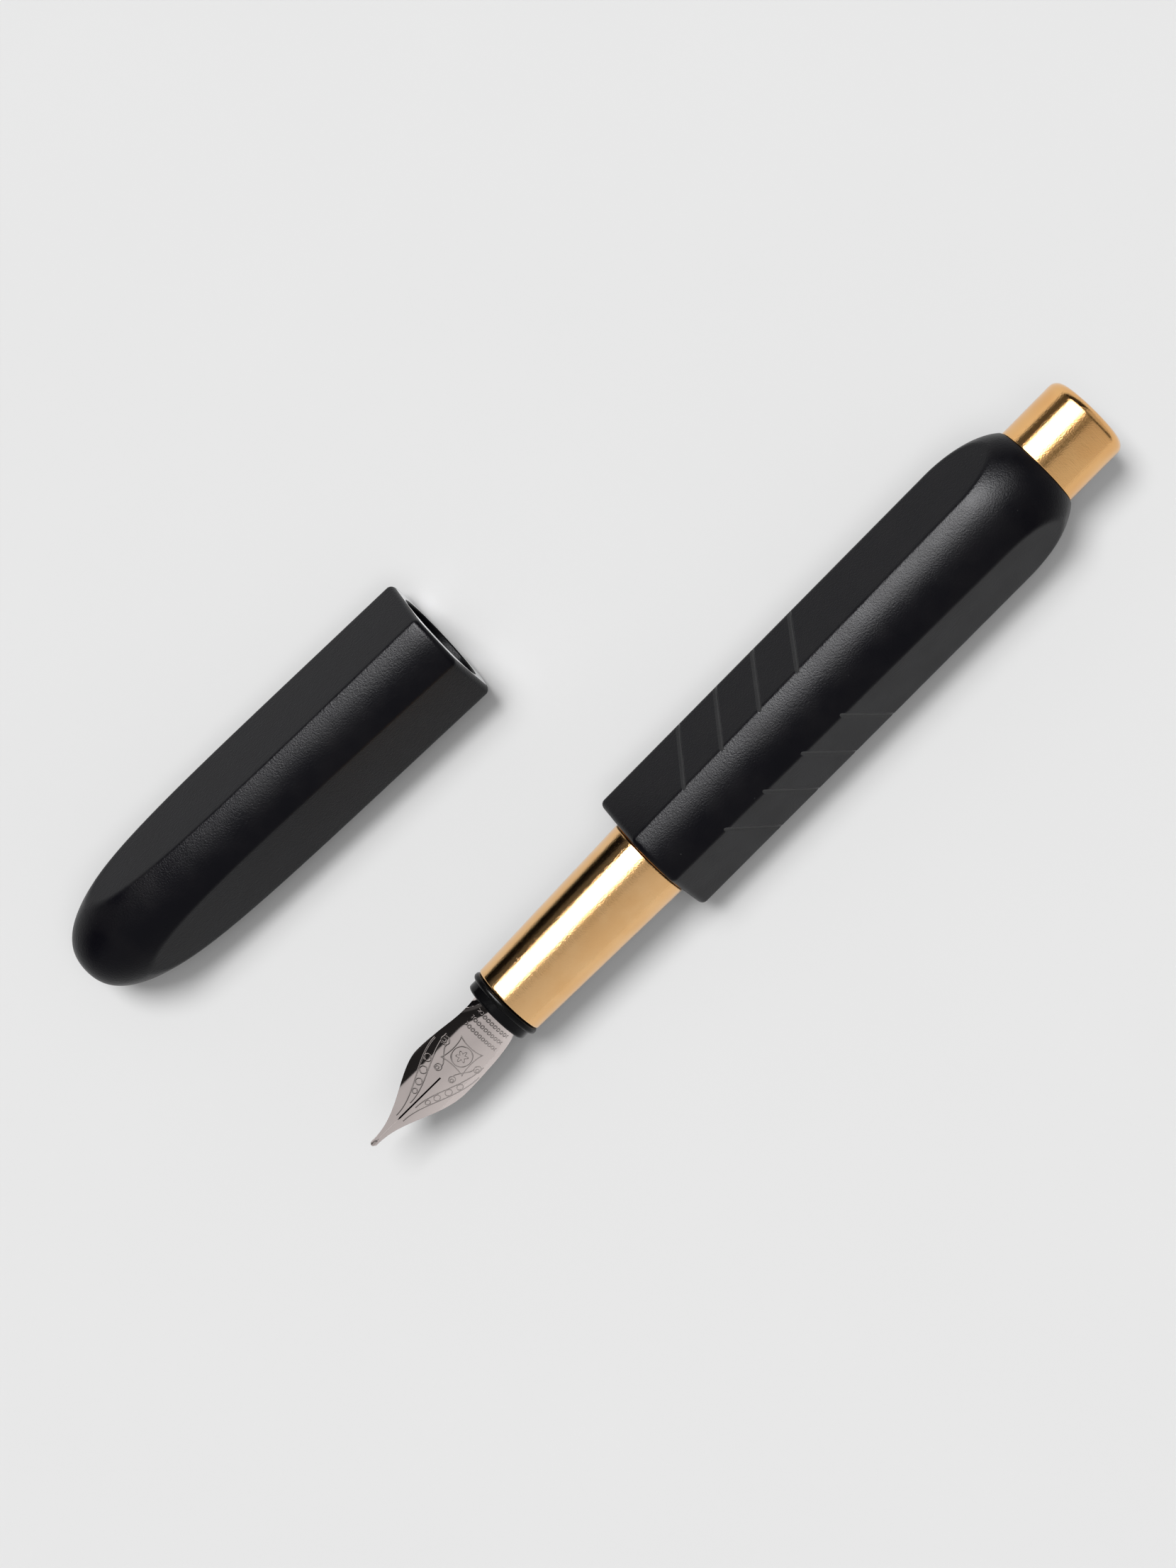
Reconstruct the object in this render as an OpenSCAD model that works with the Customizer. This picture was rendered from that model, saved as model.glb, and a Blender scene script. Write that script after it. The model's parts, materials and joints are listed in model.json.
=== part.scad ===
// Pocket fountain pen with its cap laid beside it.
// The pen lies along X with its nib towards -X, on the lower flat of its barrel, and z = 0 is what it lies on.
// The origin is on that flat, halfway along the barrel.

/* [Body] */
// Radius of the round barrel and cap, at their corners
body_r = 7.9; // [7.2:0.1:9.5]
// Wall of the cap at the middle of a flat, at its mouth
cap_wall = 0.93; // [0.75:0.01:1.3]
// Draft of the two upper flats, in degrees: they lean in towards the cap's dome
flat_draft = 0.42; // [0:0.02:0.6]

/* [Barrel] */
// Length of the barrel without its tail knob
barrel_len = 58.5; // [49:0.5:75]
// Length of the rounded shoulder at the tail
shoulder_len = 8.9; // [6:0.2:10]
// Width of the barrel's end face outside the tail knob
tail_rim = 0.18; // [0.1:0.02:0.5]
// Thickness of the wall that closes the barrel's tail
tail_wall = 3.5; // [3:0.1:5]
// Wall of the brass liner inside the barrel
liner_wall = 0.43; // [0.3:0.01:0.6]

/* [Grooves] */
// Number of grooves on each upper flat
groove_count = 4; // [1:1:5]
// Distance from the barrel's mouth to the first groove
groove_first = 8.1; // [4:0.1:12]
// Distance between grooves
groove_pitch = 5.7; // [4:0.05:7]
// How far the grooves lean from square, in degrees
groove_lean = 23; // [0:1:35]
// Radius of the groove's round bottom
groove_r = 0.26; // [0.2:0.02:0.4]
// Depth of a groove
groove_depth = 0.2; // [0.1:0.02:0.25]

/* [Tail knob] */
// Radius of the tail knob
knob_r = 5.13; // [4.2:0.01:6.1]
// Length of the tail knob
knob_len = 8.25; // [6:0.05:12]
// Rounding of the knob's end
knob_round = 1.1; // [0.4:0.1:1.6]
// Radius of the screw that holds the knob
screw_r = 1.5; // [1.2:0.1:2]

/* [Grip section] */
// Length of the grip in front of the barrel
grip_len = 22.05; // [18:0.05:28]
// Wall of the grip at its front, outside the nib unit's thread
grip_wall = 0.77; // [0.6:0.01:1]
// Height of the grip's rear edge above the spigot's thread
grip_step = 0.52; // [0.4:0.01:0.7]
// Length of the threaded spigot inside the barrel
spigot_len = 9; // [7:0.5:12]
// Wall of the spigot under its thread
spigot_wall = 0.43; // [0.35:0.01:0.6]
// Depth of the spigot's thread
spigot_thread = 0.3; // [0.2:0.01:0.4]
// Pitch of the spigot's thread
spigot_pitch = 0.75; // [0.5:0.05:1]

/* [Nib unit] */
// Bore of the housing, round nib and feed
housing_bore_r = 3.06; // [2.6:0.01:3.6]
// Wall of the housing under its thread
housing_wall = 0.36; // [0.3:0.01:0.5]
// Depth of the housing's thread
housing_thread = 0.18; // [0.12:0.01:0.25]
// Length of the housing inside the grip
housing_len = 10; // [8.5:0.1:12]
// Height of the housing's front flange above its thread
flange_step = 0.45; // [0.35:0.01:0.55]
// Thickness of the housing's front flange
flange_len = 1.15; // [0.8:0.05:1.6]
// How far the rubber ring stands out from the front of the grip
seal_proud = 0.1; // [0.05:0.01:0.15]
// Thickness of the rubber ring
seal_len = 0.85; // [0.6:0.05:1.2]
// Length of the nib in front of the flange
nib_len = 19.5; // [17:0.1:23]
// Largest half width of the nib, at its shoulders
nib_half_w = 3.68; // [3.4:0.02:3.9]
// Distance of the shoulders from the nib's point
shoulder_at = 10.6; // [9.5:0.1:12]
// Thickness of the nib's sheet
nib_t = 0.28; // [0.2:0.01:0.35]
// Height of the nib's top line above the axis, at its point
nib_tip_z = 2.35; // [1.8:0.05:2.6]
// Width of the slit
slit_w = 0.1; // [0.05:0.01:0.2]
// Length of the slit from the point
slit_len = 10.6; // [8:0.1:11]
// How far the nib is turned about the axis, in degrees
nib_roll = 11; // [-20:0.5:20]
// Distance of the feed's front end from the nib's point
feed_setback = 3.9; // [3.5:0.1:8]
// Number of fins under the feed
fin_count = 9; // [5:1:11]
// Radius of the nipple that takes the converter
nipple_r = 2.15; // [2:0.01:2.3]
// Length of the nipple
nipple_len = 6; // [4.5:0.5:7]

/* [Converter] */
// Radius of the turning knob and of the band in front of it
turner_r = 3.6; // [3:0.02:4.3]
// Thickness of the band round the tube
band_t = 0.19; // [0.15:0.01:0.25]
// Length of that band
band_len = 7; // [4:0.5:9]
// Wall of the tube
tube_wall = 0.65; // [0.5:0.01:0.8]
// Thickness of the guide round the piston rod
guide_wall = 0.49; // [0.4:0.01:0.6]
// Wall of the piston rod round the drive screw
rod_wall = 0.85; // [0.6:0.01:1]
// Travel of the piston
piston_travel = 18; // [12:0.5:20]
// Length of the piston's seal
seal_block_len = 4; // [3:0.1:5]
// Length of the guide that the piston rod slides in
guide_len = 6; // [4:0.5:8]
// Length of screw left in the rod when the piston is at its front
screw_engage = 2.4; // [1.5:0.1:4]
// Lead of the drive screw for each turn
drive_lead = 4; // [3:0.5:5]

/* [Cap] */
// Gap round the grip inside the cap's mouth
cap_mouth_gap = 0.4; // [0.3:0.01:0.5]
// How far the inner cap reaches over the grip when the cap is on
inner_cap_lap = 5.15; // [3.9:0.05:5.9]
// Wall of the inner cap
inner_cap_wall = 0.56; // [0.4:0.02:0.7]
// Gap round the pen's rubber ring inside the inner cap
inner_cap_gap = 0.1; // [0.05:0.01:0.15]
// Room between the nib's point and the inner cap's end
point_room = 1; // [0.5:0.1:3]
// Thickness of the cap's solid end
cap_end = 7.25; // [6:0.05:9]
// Length of the cap's straight stretch, before the dome begins
cap_straight = 0.8; // [0.5:0.1:10]
// Distance between the cap's mouth and the barrel's mouth, towards the tail
cap_ahead = 0.95; // [-2:0.05:4]
// Distance between the pen's axis and the cap's axis, at the cap's mouth
cap_aside = 32.7; // [20:0.1:60]
// How far the cap is turned away from the pen, in degrees
cap_yaw = 2.4; // [0:0.1:12]

/* [Clearances] */
// Gap between two pieces that are pressed or glued together
press_gap = 0.01; // [0.005:0.005:0.02]
// Gap on the radius between pieces that slide or turn in each other
running_gap = 0.05; // [0.03:0.01:0.08]
// Gap between faces that close on each other
face_gap = 0.05; // [0.03:0.01:0.15]
// Gap round the converter inside the section
converter_gap = 0.15; // [0.1:0.01:0.2]
// Gap round a screw that passes through a hole
hole_gap = 0.15; // [0.1:0.01:0.2]
// Room left at the ends of screws and rods
end_gap = 0.4; // [0.3:0.05:0.6]

/* [Hidden] */
$fn = 96;

eps = 0.01;
big = 4 * body_r;
arc_steps = 6;
flat_count = 3;
edge_round = 0.3;

// Radii, from the converter outwards to the flats
o_ring_squeeze = 0.02;
tube_r = turner_r - band_t - press_gap;
chamber_r = tube_r - tube_wall;
rod_r = chamber_r - press_gap - guide_wall - running_gap;
drive_r = rod_r - rod_wall - running_gap;
section_bore_r = turner_r + converter_gap;
spigot_core_r = section_bore_r + spigot_wall;
spigot_r = spigot_core_r + spigot_thread;
liner_bore_r = spigot_r + running_gap + o_ring_squeeze;
liner_r = liner_bore_r + liner_wall;
grip_rear_r = spigot_r + grip_step;
cap_bore_r = grip_rear_r + cap_mouth_gap;
flat_dist = cap_bore_r + cap_wall;

// Radii of the nib unit and of what closes round it
housing_core_r = housing_bore_r + housing_wall;
housing_r = housing_core_r + housing_thread;
flange_r = housing_r + flange_step;
grip_front_r = housing_r + running_gap + grip_wall;
seal_r = grip_front_r + seal_proud;
nib_tail_r = housing_bore_r - running_gap;
feed_r = nib_tail_r - nib_t - running_gap;
inner_cap_bore_r = seal_r + inner_cap_gap;
inner_cap_r = inner_cap_bore_r + inner_cap_wall;

// Distances along the pen, from the barrel's mouth (0) towards the tail
grip_front = -grip_len;
seal_front = grip_front - seal_len;
flange_front = seal_front - flange_len;
nib_tip = flange_front - nib_len;
housing_back = grip_front + housing_len;
nipple_back = housing_back + nipple_len;
bore_end = barrel_len - tail_wall;
tail_face_r = knob_r + tail_rim;

// The converter, from its mouth on the nipple back to its turning knob
rod_end = 1.2;
turner_end = 1.6;
tube_front = housing_back + 1;
throat = nipple_back + end_gap;
chamber_front = throat + 1;
piston_front = chamber_front + end_gap / 2 + piston_travel;
seal_back = piston_front + seal_block_len;
guide_front = seal_back + end_gap;
tube_back = guide_front + guide_len;
turner_front = tube_back + face_gap;
rod_bore_front = seal_back + rod_end;
screw_front = rod_bore_front + end_gap / 2;
rod_back = screw_front + piston_travel + screw_engage;
turner_back = rod_back + end_gap + 0.2 + turner_end;

// The cap, by depth from its mouth
cap_bore_len = grip_len - inner_cap_lap;
cap_room = -nib_tip + point_room;
inner_cap_end = 1;
cap_len = cap_room + inner_cap_end + cap_end;
dome_len = cap_len - cap_straight;

axis_z = flat_dist;
mouth_x = -barrel_len / 2;

// ---- places

// Draws its children along the pen: +Z runs to the tail, from the barrel's mouth, and +X points down
module along_pen() {
    translate([mouth_x, 0, axis_z]) rotate([0, 90, 0]) children();
}

// Turns what belongs to the nib about the axis
module rolled() {
    along_pen() rotate([0, 0, nib_roll]) children();
}

// Draws its children in the cap, with the cap's mouth at 0 and its dome towards -Z
module along_cap() {
    translate([mouth_x + cap_ahead, cap_aside, axis_z])
        rotate([0, 0, -cap_yaw]) rotate([0, 90, 0]) children();
}

// ---- outlines and shapes used more than once

// Points of an arc round [x, y], from angle a to angle b
function arc(x, y, r, a, b, n = arc_steps) =
    [for (i = [0:n]) [x + r * cos(a + (b - a) * i / n), y + r * sin(a + (b - a) * i / n)]];

// A plain ring, from z0 to z1
module ring(r_in, r_out, z0, z1) {
    difference() {
        translate([0, 0, z0]) cylinder(r = r_out, h = z1 - z0);
        translate([0, 0, z0 - eps]) cylinder(r = r_in, h = z1 - z0 + 2 * eps);
    }
}

// A ring whose outer edge is a half round
module round_ring(r_in, r_out, z0, z1) {
    half = (z1 - z0) / 2;
    rotate_extrude()
        polygon(concat([[r_in, z0]], arc(r_out - half, z0 + half, half, -90, 90, 10), [[r_in, z1]]));
}

// Turned thread crests: ridges of one pitch each, on a core, from z0 for a number of turns
module crests(core_r, crest_r, pitch, z0, turns) {
    rotate_extrude()
        polygon(concat(
            [[core_r - 0.2, z0]],
            [for (i = [0:turns - 1]) each [
                [core_r, z0 + i * pitch],
                [crest_r, z0 + (i + 0.4) * pitch],
                [crest_r, z0 + (i + 0.6) * pitch]
            ]],
            [[core_r, z0 + turns * pitch], [core_r - 0.2, z0 + turns * pitch]]));
}

// The frame of flat number i: +X is its outward normal, and its face passes through the origin
module on_flat(i) {
    rotate([0, 0, 360 / flat_count * i]) translate([flat_dist, 0, 0])
        rotate([0, i == 0 ? 0 : flat_draft, 0]) children();
}

// What the flats take off the round body, between z0 and z1
module outside_flats(z0, z1) {
    for (i = [0:flat_count - 1])
        on_flat(i) translate([0, -big / 2, z0]) cube([big, big, z1 - z0]);
}

// ---- barrel

// The shoulder is a stretch of an ellipse that meets the end face
shoulder_turn = 65;
shoulder_a = shoulder_len / sin(shoulder_turn);
shoulder_b = (body_r - tail_face_r) / (1 - cos(shoulder_turn));
shoulder_steps = 12;

function shoulder_point(f) = [
    body_r - shoulder_b * (1 - cos(f * shoulder_turn)),
    barrel_len - shoulder_len + shoulder_a * sin(f * shoulder_turn)
];

module barrel_solid() {
    rotate_extrude()
        polygon(concat(
            [[0, 0]],
            arc(body_r - edge_round, edge_round, edge_round, -90, 0),
            [for (i = [0:shoulder_steps]) shoulder_point(i / shoulder_steps)],
            [[0, barrel_len]]));
}

// One groove across flat i, leaning towards the tail as it goes down the flat
module groove(i, at) {
    lean = i == 1 ? -groove_lean : groove_lean;
    on_flat(i) translate([groove_r - groove_depth, 0, at])
        rotate([lean, 0, 0]) rotate([90, 0, 0]) cylinder(r = groove_r, h = big, center = true);
}

groove_mid = sqrt(body_r * body_r - flat_dist * flat_dist) * tan(groove_lean);

module grooves() {
    for (i = [1, 2], k = [0:groove_count - 1])
        groove(i, groove_first + groove_mid + k * groove_pitch);
}

module barrel_shell() {
    color("#2b2b2e") along_pen() difference() {
        barrel_solid();
        outside_flats(-1, barrel_len + 1);
        translate([0, 0, -eps]) cylinder(r = liner_r + press_gap, h = bore_end + eps);
        translate([0, 0, bore_end - eps]) cylinder(r = screw_r + hole_gap, h = tail_wall + 2 * eps);
        grooves();
    }
}

module barrel_liner() {
    color("#b08d57") along_pen() ring(liner_bore_r, liner_r, face_gap, bore_end - face_gap);
}

knob_chamfer = 0.15;
knob_cover = 3;
screw_spare = 1;

module tail_knob() {
    knob_front = barrel_len + press_gap;
    knob_back = barrel_len + knob_len;
    color("#d4a85a") along_pen() difference() {
        rotate_extrude()
            polygon(concat(
                [[0, knob_front], [knob_r - knob_chamfer, knob_front], [knob_r, knob_front + knob_chamfer]],
                arc(knob_r - knob_round, knob_back - knob_round, knob_round, 0, 90, 8),
                [[0, knob_back]]));
        translate([0, 0, knob_front - eps])
            cylinder(r = screw_r + press_gap, h = knob_len - knob_cover);
    }
}

washer_t = 0.5;
washer_rim = 0.6;
screw_head_r = screw_r + 1.3;
screw_head_len = 1.8;
screw_head_back = bore_end - washer_t - 2 * press_gap;

module tail_screw() {
    hex_r = screw_r - 0.35;
    hex_depth = 1.1;
    color("#8f9093") along_pen() difference() {
        union() {
            translate([0, 0, screw_head_back - screw_head_len])
                cylinder(r = screw_head_r, h = screw_head_len);
            translate([0, 0, screw_head_back - eps])
                cylinder(r = screw_r, h = barrel_len + knob_len - knob_cover - screw_spare - screw_head_back);
        }
        translate([0, 0, screw_head_back - screw_head_len - eps]) cylinder(r = hex_r, h = hex_depth, $fn = 6);
    }
}

module tail_washer() {
    color("#9a9a9c") along_pen()
        ring(screw_r + hole_gap - running_gap, screw_head_r + washer_rim,
             bore_end - washer_t - press_gap, bore_end - press_gap);
}

// ---- grip section

o_ring_t = 0.7;
o_ring_at = 0.55;
groove_floor_r = spigot_core_r - 0.15;
rear_round = 0.2;
crest_start = o_ring_at + o_ring_t + 0.3;
crest_turns = floor((spigot_len - crest_start - 0.3) / spigot_pitch);

module grip_section() {
    color("#d9b062") along_pen() difference() {
        union() {
            rotate_extrude()
                polygon(concat(
                    [[0, grip_front]],
                    arc(grip_front_r - edge_round, grip_front + edge_round, edge_round, -90, 0),
                    [[grip_rear_r, -face_gap - rear_round], [grip_rear_r - rear_round, -face_gap],
                     [spigot_core_r, -face_gap],
                     [spigot_core_r, o_ring_at], [groove_floor_r, o_ring_at],
                     [groove_floor_r, o_ring_at + o_ring_t], [spigot_core_r, o_ring_at + o_ring_t],
                     [spigot_core_r, spigot_len - rear_round], [spigot_core_r - rear_round, spigot_len],
                     [0, spigot_len]]));
            crests(spigot_core_r, spigot_r, spigot_pitch, crest_start, crest_turns);
        }
        translate([0, 0, grip_front - eps])
            cylinder(r = housing_r + running_gap, h = housing_len + 2 * eps);
        translate([0, 0, housing_back]) cylinder(r = section_bore_r, h = spigot_len - housing_back + eps);
    }
}

module spigot_o_ring() {
    r_in = groove_floor_r + press_gap;
    color("#1b1b1d") along_pen()
        round_ring(r_in, spigot_r + o_ring_squeeze, o_ring_at + press_gap, o_ring_at + o_ring_t - press_gap);
}

// ---- nib unit

neck_r = housing_core_r - 0.1;
neck_back = grip_front + 0.1;
housing_step = 0.8;
housing_pitch = 0.5;
housing_turns = floor((housing_len - 2.5) / housing_pitch);
feed_back = housing_back - 2;
ink_bore_r = 1.3;
nipple_chamfer = 0.2;

module nib_housing() {
    back = housing_back - face_gap;
    color("#19191b") along_pen() difference() {
        union() {
            rotate_extrude()
                polygon(concat(
                    [[0, flange_front]],
                    arc(flange_r - edge_round, flange_front + edge_round, edge_round, -90, 0),
                    [[flange_r, seal_front], [neck_r, seal_front], [neck_r, neck_back],
                     [housing_core_r, neck_back + 0.2], [housing_core_r, back - housing_step],
                     [housing_core_r - housing_step, back], [nipple_r, back],
                     [nipple_r, nipple_back - nipple_chamfer], [nipple_r - nipple_chamfer, nipple_back],
                     [0, nipple_back]]));
            crests(housing_core_r, housing_r, housing_pitch, neck_back + 0.5, housing_turns);
        }
        translate([0, 0, flange_front - eps]) cylinder(r = housing_bore_r, h = feed_back - flange_front + eps);
        translate([0, 0, feed_back - eps]) cylinder(r = ink_bore_r, h = nipple_back - feed_back + 2 * eps);
    }
}

module nib_seal_ring() {
    color("#101011") along_pen()
        round_ring(neck_r + press_gap, seal_r, seal_front + press_gap, grip_front - face_gap);
}

// Half width of the nib at a distance d from its point: to round shoulders, then a slow taper back
tip_half_w = 0.34;
tail_half_w = nib_tail_r - 0.03;
nib_front_curve = 5.2;
curve_from = nib_len - 4;
weld_in = 0.35;

function smooth(f) = f <= 0 ? 0 : f >= 1 ? 1 : f * f * (3 - 2 * f);

function nib_w(d) =
    d < shoulder_at
        ? tip_half_w + (nib_half_w - tip_half_w) * smooth(pow(d / shoulder_at, 1.15))
        : nib_half_w - (nib_half_w - tail_half_w) * smooth((d - shoulder_at) / (nib_len + 1.5 - shoulder_at));

// Height of its top line, radius of its curve and half width inside the housing
function nib_top(d) = nib_tip_z + (nib_tail_r - nib_tip_z) * smooth(d / nib_len);
function nib_curve(d) =
    nib_front_curve + (nib_tail_r - nib_front_curve) * smooth((d - curve_from) / (nib_len - curve_from));
function nib_t_at(d) = nib_t * (d < 2 ? 1.25 - 0.125 * d : 1);

nib_stations = 30;
nib_across = 12;
nib_seat = 7;
nib_total = nib_len + flange_len + seal_len + nib_seat;

// A point of the sheet: f runs across it from -1 to 1, k is 0 on top and 1 below
function nib_point_at(d, f, k) =
    let (c = nib_curve(d), t = k * nib_t_at(d), a = f * asin(min(0.995, nib_w(d) / c)))
    [-(nib_top(d) - c) - (c - t) * cos(a), (c - t) * sin(a), nib_tip + weld_in + d];

module nib_sheet() {
    rows = nib_across + 1;
    points = [
        for (i = [0:nib_stations], k = [0, 1], j = [0:nib_across])
            nib_point_at(nib_total * i / nib_stations, 2 * j / nib_across - 1, k)
    ];
    // Index of a point from its station, its side of the sheet and its place across
    function at(i, k, j) = (i * 2 + k) * rows + j;
    sides = [
        for (i = [0:nib_stations - 1], j = [0:nib_across - 1]) each [
            [at(i, 0, j), at(i, 0, j + 1), at(i + 1, 0, j + 1)],
            [at(i, 0, j), at(i + 1, 0, j + 1), at(i + 1, 0, j)],
            [at(i, 1, j), at(i + 1, 1, j + 1), at(i, 1, j + 1)],
            [at(i, 1, j), at(i + 1, 1, j), at(i + 1, 1, j + 1)]
        ]
    ];
    rims = [
        for (i = [0:nib_stations - 1]) each [
            [at(i, 0, 0), at(i + 1, 0, 0), at(i + 1, 1, 0)],
            [at(i, 0, 0), at(i + 1, 1, 0), at(i, 1, 0)],
            [at(i, 0, nib_across), at(i + 1, 1, nib_across), at(i + 1, 0, nib_across)],
            [at(i, 0, nib_across), at(i, 1, nib_across), at(i + 1, 1, nib_across)]
        ]
    ];
    ends = [
        for (j = [0:nib_across - 1]) each [
            [at(0, 0, j), at(0, 1, j + 1), at(0, 0, j + 1)],
            [at(0, 0, j), at(0, 1, j), at(0, 1, j + 1)],
            [at(nib_stations, 0, j), at(nib_stations, 0, j + 1), at(nib_stations, 1, j + 1)],
            [at(nib_stations, 0, j), at(nib_stations, 1, j + 1), at(nib_stations, 1, j)]
        ]
    ];
    polyhedron(points, concat(sides, rims, ends), convexity = 4);
}

module nib() {
    color("#c9c6c2") rolled() difference() {
        nib_sheet();
        translate([-nib_tail_r - 1, -slit_w / 2, nib_tip - 1]) cube([4, slit_w, slit_len + 1]);
    }
}

point_r = 0.42;

module nib_point() {
    color("#e0dedb") rolled() translate([-nib_tip_z + nib_t, 0, nib_tip + point_r])
        difference() {
            sphere(r = point_r);
            translate([-1, -slit_w / 2, -1]) cube([1.2, slit_w, 2]);
            translate([-1, -1, 0.3]) cube([2, 2, 1]);
        }
}

feed_front = nib_tip + feed_setback;
feed_front_half_w = 0.6;
feed_taper_len = 6;
feed_taper = atan((feed_r - feed_front_half_w) / feed_taper_len);
fin_zone = 8.5;
fin_pitch = fin_zone / fin_count;
fin_gap = 0.4;

module feed() {
    top_drop = nib_t + running_gap + 0.05;
    lean = atan((nib_tail_r - nib_tip_z) / nib_len) + 1.5;
    front_depth = 0.9;
    belly_len = 3.5;
    rise = atan((feed_r + nib_tip_z - front_depth) / (flange_front - feed_front));
    color("#161617") rolled() difference() {
        union() {
            translate([0, 0, feed_front]) cylinder(r = feed_r, h = feed_back - feed_front - face_gap);
            translate([0, 0, feed_back - 1]) cylinder(r = ink_bore_r - 0.1, h = nipple_back - feed_back + 0.5);
        }
        // Under the nib the feed is flat on top
        translate([-nib_tail_r + top_drop, 0, flange_front + 1])
            rotate([0, -lean, 0]) translate([-5, -5, -25]) cube([5, 10, 25]);
        // Its sides draw in towards the front end, inside the nib's edges
        for (side = [-1, 1])
            translate([0, side * feed_r, feed_front + feed_taper_len])
                rotate([side * -feed_taper, 0, 0])
                    translate([-5, side > 0 ? 0 : -5, -20]) cube([10, 5, 20]);
        // Its belly rises to the front end
        translate([feed_r, 0, flange_front - belly_len])
            rotate([0, rise, 0]) translate([0, -5, -20]) cube([8, 10, 20]);
        // Fins under its belly
        for (i = [0:fin_count - 1])
            translate([0.9, -5, flange_front - 0.8 - i * fin_pitch - fin_gap]) cube([5, 10, fin_gap]);
    }
}

// ---- converter

module converter_tube() {
    throat_r = 1;
    color([0.85, 0.9, 0.95, 0.5]) along_pen() difference() {
        translate([0, 0, tube_front]) cylinder(r = tube_r, h = tube_back - tube_front);
        translate([0, 0, tube_front - eps]) cylinder(r = nipple_r + running_gap, h = throat - tube_front + eps);
        translate([0, 0, throat - eps]) cylinder(r = throat_r, h = chamber_front - throat + 2 * eps);
        translate([0, 0, chamber_front]) cylinder(r = chamber_r, h = tube_back - chamber_front + eps);
    }
}

module converter_band() {
    color("#c8c8ca") along_pen()
        ring(tube_r + press_gap, turner_r, tube_back - band_len, tube_back - press_gap);
}

module converter_guide() {
    color("#1d1d1f") along_pen()
        ring(rod_r + running_gap, chamber_r - press_gap, guide_front, tube_back - press_gap);
}

turner_bore_r = rod_r + 0.25;
turner_round = 0.5;
turner_chamfer = 0.2;

module turning_knob() {
    rib_count = 24;
    rib_r = 0.18;
    rib_front = turner_front + 1.5;
    color("#1d1d1f") along_pen() difference() {
        rotate_extrude()
            polygon(concat(
                [[0, turner_front], [turner_r - turner_chamfer, turner_front],
                 [turner_r, turner_front + turner_chamfer]],
                arc(turner_r - turner_round, turner_back - turner_round, turner_round, 0, 90),
                [[0, turner_back]]));
        translate([0, 0, turner_front - eps])
            cylinder(r = turner_bore_r, h = turner_back - turner_end - turner_front + eps);
        for (k = [0:rib_count - 1])
            rotate([0, 0, k * 360 / rib_count]) translate([turner_r + 0.05, 0, rib_front])
                cylinder(r = rib_r, h = turner_back - turner_front, $fn = 16);
    }
}

drive_thread = 0.25;
drive_starts = 3;

module drive_screw() {
    core = drive_r - drive_thread;
    screw_back = turner_back - turner_end - press_gap;
    rise = drive_lead / drive_starts;
    color("#b9babd") along_pen() union() {
        translate([0, 0, screw_front]) cylinder(r = core, h = screw_back - screw_front);
        crests(core, drive_r, rise, screw_front + 0.3, floor((screw_back - screw_front - 1) / rise));
    }
}

stem_r = 1.2;
stem_front = piston_front + 0.6;

module piston_rod() {
    color("#e6e6e2") along_pen() difference() {
        union() {
            translate([0, 0, seal_back + press_gap]) cylinder(r = rod_r, h = rod_back - seal_back - press_gap);
            translate([0, 0, stem_front + press_gap]) cylinder(r = stem_r, h = seal_block_len);
        }
        translate([0, 0, rod_bore_front])
            cylinder(r = drive_r + running_gap, h = rod_back - rod_bore_front + eps);
    }
}

module piston_seal() {
    lip = 0.5;
    lip_r = chamber_r - running_gap;
    waist_r = lip_r - 0.45;
    color("#141415") along_pen() difference() {
        rotate_extrude()
            polygon([
                [0, piston_front], [lip_r - 0.1, piston_front], [lip_r, piston_front + 0.1],
                [lip_r, piston_front + lip], [waist_r, piston_front + 2 * lip],
                [waist_r, seal_back - 2 * lip], [lip_r, seal_back - lip],
                [lip_r, seal_back], [0, seal_back]
            ]);
        translate([0, 0, stem_front]) cylinder(r = stem_r + press_gap, h = seal_block_len);
    }
}

// ---- cap

dome_steps = 32;
dome_power = 5.94;
dome_root = 0.4;

// Radius of the dome at a share f of its length from the tip
function dome_r(f) = body_r * pow(1 - pow(1 - f, dome_power), dome_root);

module cap_solid() {
    rotate_extrude()
        polygon(concat(
            [for (i = [0:dome_steps]) let (f = pow(i / dome_steps, 2.5)) [dome_r(f), -cap_len + f * dome_len]],
            arc(body_r - edge_round, -edge_round, edge_round, 0, 90),
            [[0, 0]]));
}

cap_screw_r = 1;
cap_screw_len = 3.5;
cap_back = cap_room + inner_cap_end;

module cap_shell() {
    color("#2b2b2e") along_cap() difference() {
        cap_solid();
        outside_flats(-cap_len - 1, 1);
        translate([0, 0, -cap_bore_len]) cylinder(r = cap_bore_r, h = cap_bore_len + eps);
        translate([0, 0, -cap_back]) cylinder(r = inner_cap_r + press_gap, h = cap_back);
        translate([0, 0, -cap_room - cap_screw_len - 0.5]) cylinder(r = cap_screw_r, h = cap_screw_len + 0.5);
    }
}

// The inner cap starts at the step in the cap's bore with a lead-in, and has a groove inside for its snap ring
lead_in = 1.3;
lead_in_edge = 0.12;
snap_len = 1.4;
snap_depth = 0.2;
snap_at = -cap_bore_len - lead_in - snap_len - 0.2;

module inner_cap() {
    color("#202022") along_cap() difference() {
        translate([0, 0, press_gap - cap_back]) cylinder(r = inner_cap_r, h = cap_back - cap_bore_len);
        translate([0, 0, -cap_room]) cylinder(r = inner_cap_bore_r, h = cap_room);
        translate([0, 0, -cap_bore_len - lead_in])
            cylinder(r1 = inner_cap_bore_r, r2 = inner_cap_r - lead_in_edge, h = lead_in + press_gap);
        translate([0, 0, snap_at]) cylinder(r = inner_cap_bore_r + snap_depth, h = snap_len + press_gap);
        translate([0, 0, -cap_room - inner_cap_end - 1])
            cylinder(r = cap_screw_r + 0.1, h = inner_cap_end + 2);
    }
}

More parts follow.
